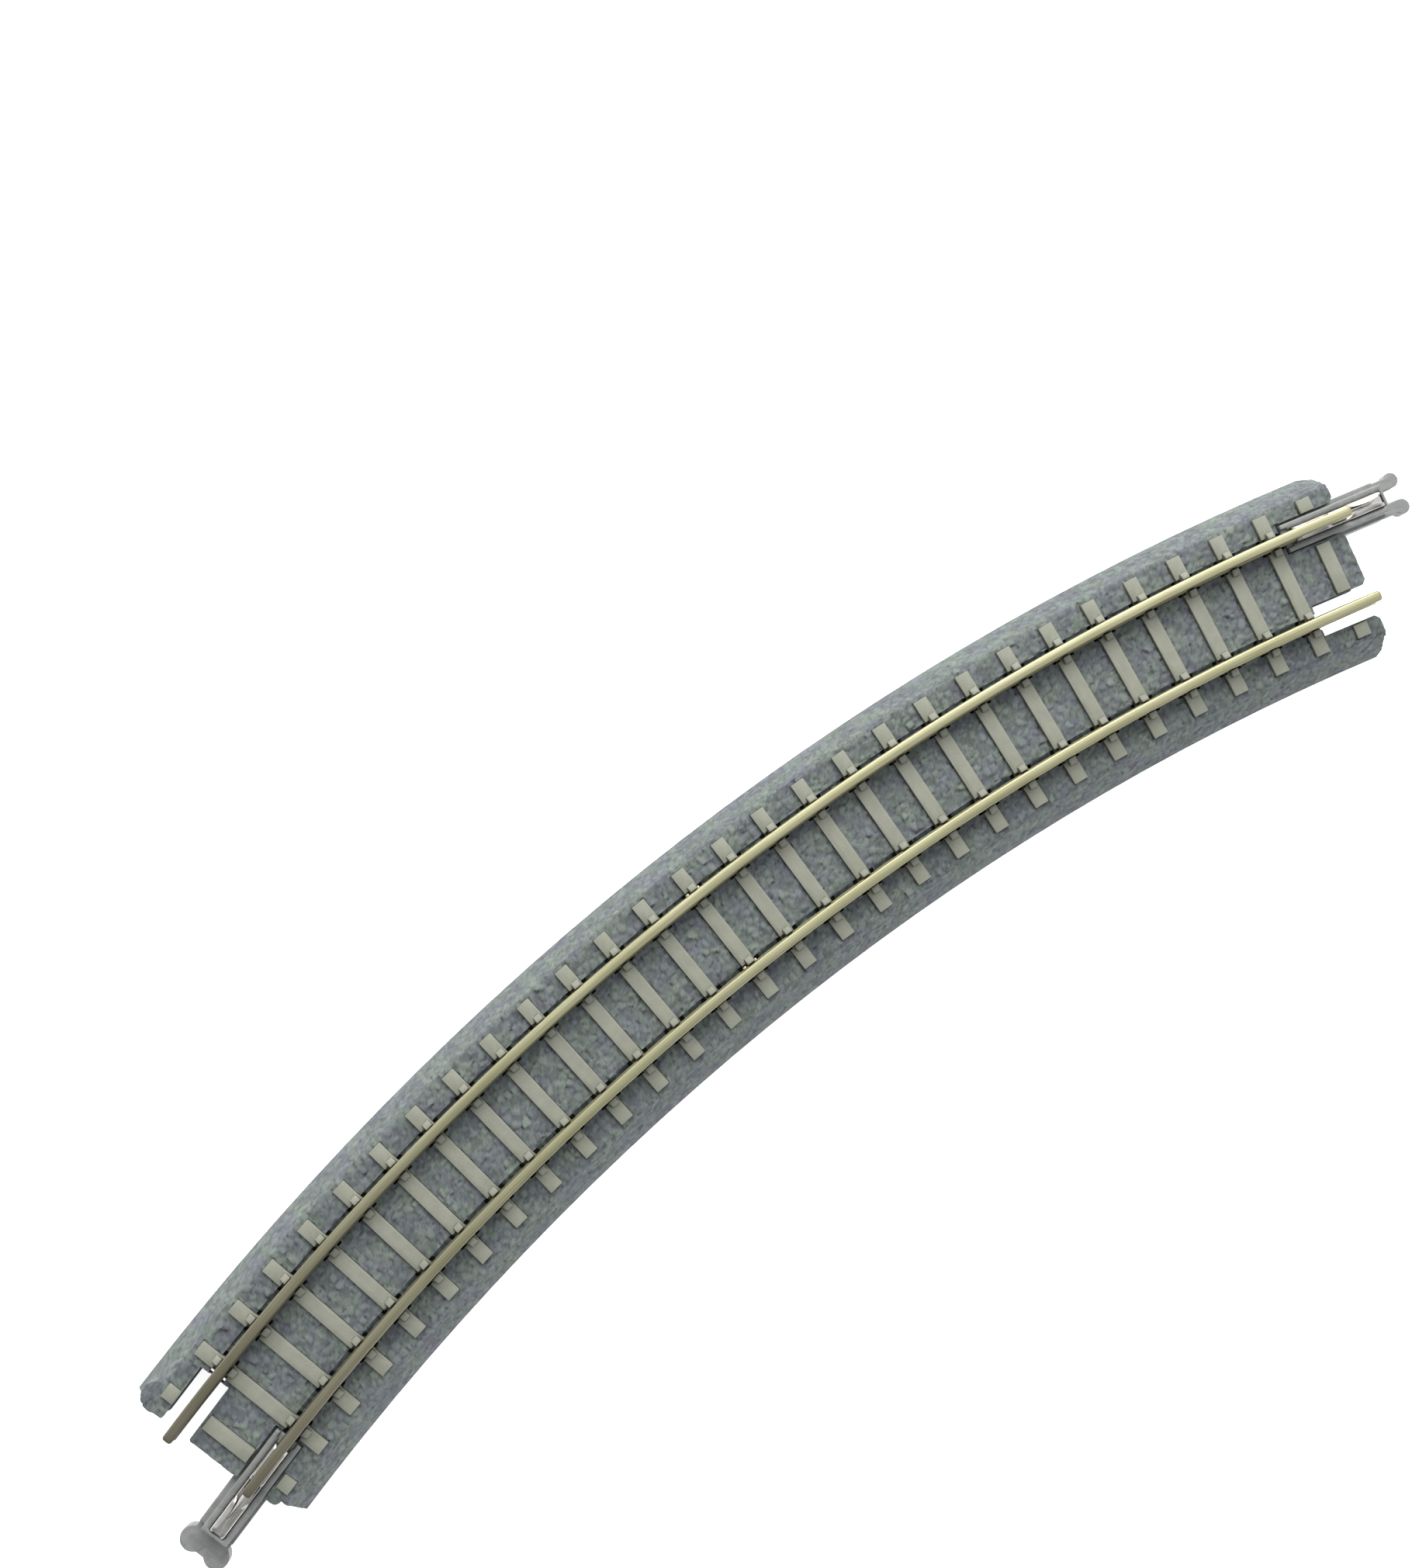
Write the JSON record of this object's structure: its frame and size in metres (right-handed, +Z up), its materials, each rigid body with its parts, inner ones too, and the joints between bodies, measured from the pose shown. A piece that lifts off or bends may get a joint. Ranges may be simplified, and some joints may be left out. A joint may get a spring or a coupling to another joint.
{
  "type": "model track section",
  "caption": "Curved model railway track section: moulded ballast roadbed with sleepers, two metal rails and a slide-on rail joiner at each end.",
  "frame": {"origin": "under the middle of the track's centreline, at the base the section lies on", "axes": "+X along the track's tangent at the middle, +Y away from the centre of the curve, +Z up"},
  "size_m": [0.1278, 0.0231, 0.0055],
  "materials": {
    "ballast": "moulded stone texture, matt",
    "sleeper": "smooth satin",
    "rail": "nickel silver, drawn lengthwise, slightly dulled",
    "housing": "satin, slightly translucent",
    "spring_metal": "bright folded sheet"
  },
  "bodies": {
    "track": {"roadbed": "ballast", "rail_outer": "rail", "rail_inner": "rail", "sleeper_02": "sleeper", "sleeper_03": "sleeper", "sleeper_04": "sleeper", "sleeper_05": "sleeper", "sleeper_06": "sleeper", "sleeper_07": "sleeper", "sleeper_08": "sleeper", "sleeper_09": "sleeper", "sleeper_10": "sleeper", "sleeper_11": "sleeper", "sleeper_12": "sleeper", "sleeper_13": "sleeper", "sleeper_14": "sleeper", "sleeper_15": "sleeper", "sleeper_16": "sleeper", "sleeper_17": "sleeper", "sleeper_18": "sleeper", "sleeper_19": "sleeper", "sleeper_20": "sleeper", "sleeper_21": "sleeper", "sleeper_22": "sleeper", "sleeper_23": "sleeper", "sleeper_24": "sleeper", "sleeper_25": "sleeper", "sleeper_26": "sleeper", "sleeper_27": "sleeper", "sleeper_28": "sleeper", "sleeper_29": "sleeper", "sleeper_01_outer": "sleeper", "sleeper_01_middle": "sleeper", "sleeper_01_inner": "sleeper", "sleeper_30_outer": "sleeper", "sleeper_30_middle": "sleeper", "sleeper_30_inner": "sleeper"},
    "joiner_left": {"joiner_left_housing": "housing", "joiner_left_clip": "spring_metal"},
    "joiner_right": {"joiner_right_housing": "housing", "joiner_right_clip": "spring_metal"}
  },
  "joints": [
    {"name": "joiner_left_slide", "type": "slide", "parent": "track", "child": "joiner_left", "axis": [-0.9659, -0.2588, 0], "range_m": [0, 0.012]},
    {"name": "joiner_right_slide", "type": "slide", "parent": "track", "child": "joiner_right", "axis": [0.9659, -0.2588, 0], "range_m": [0, 0.012]}
  ]
}
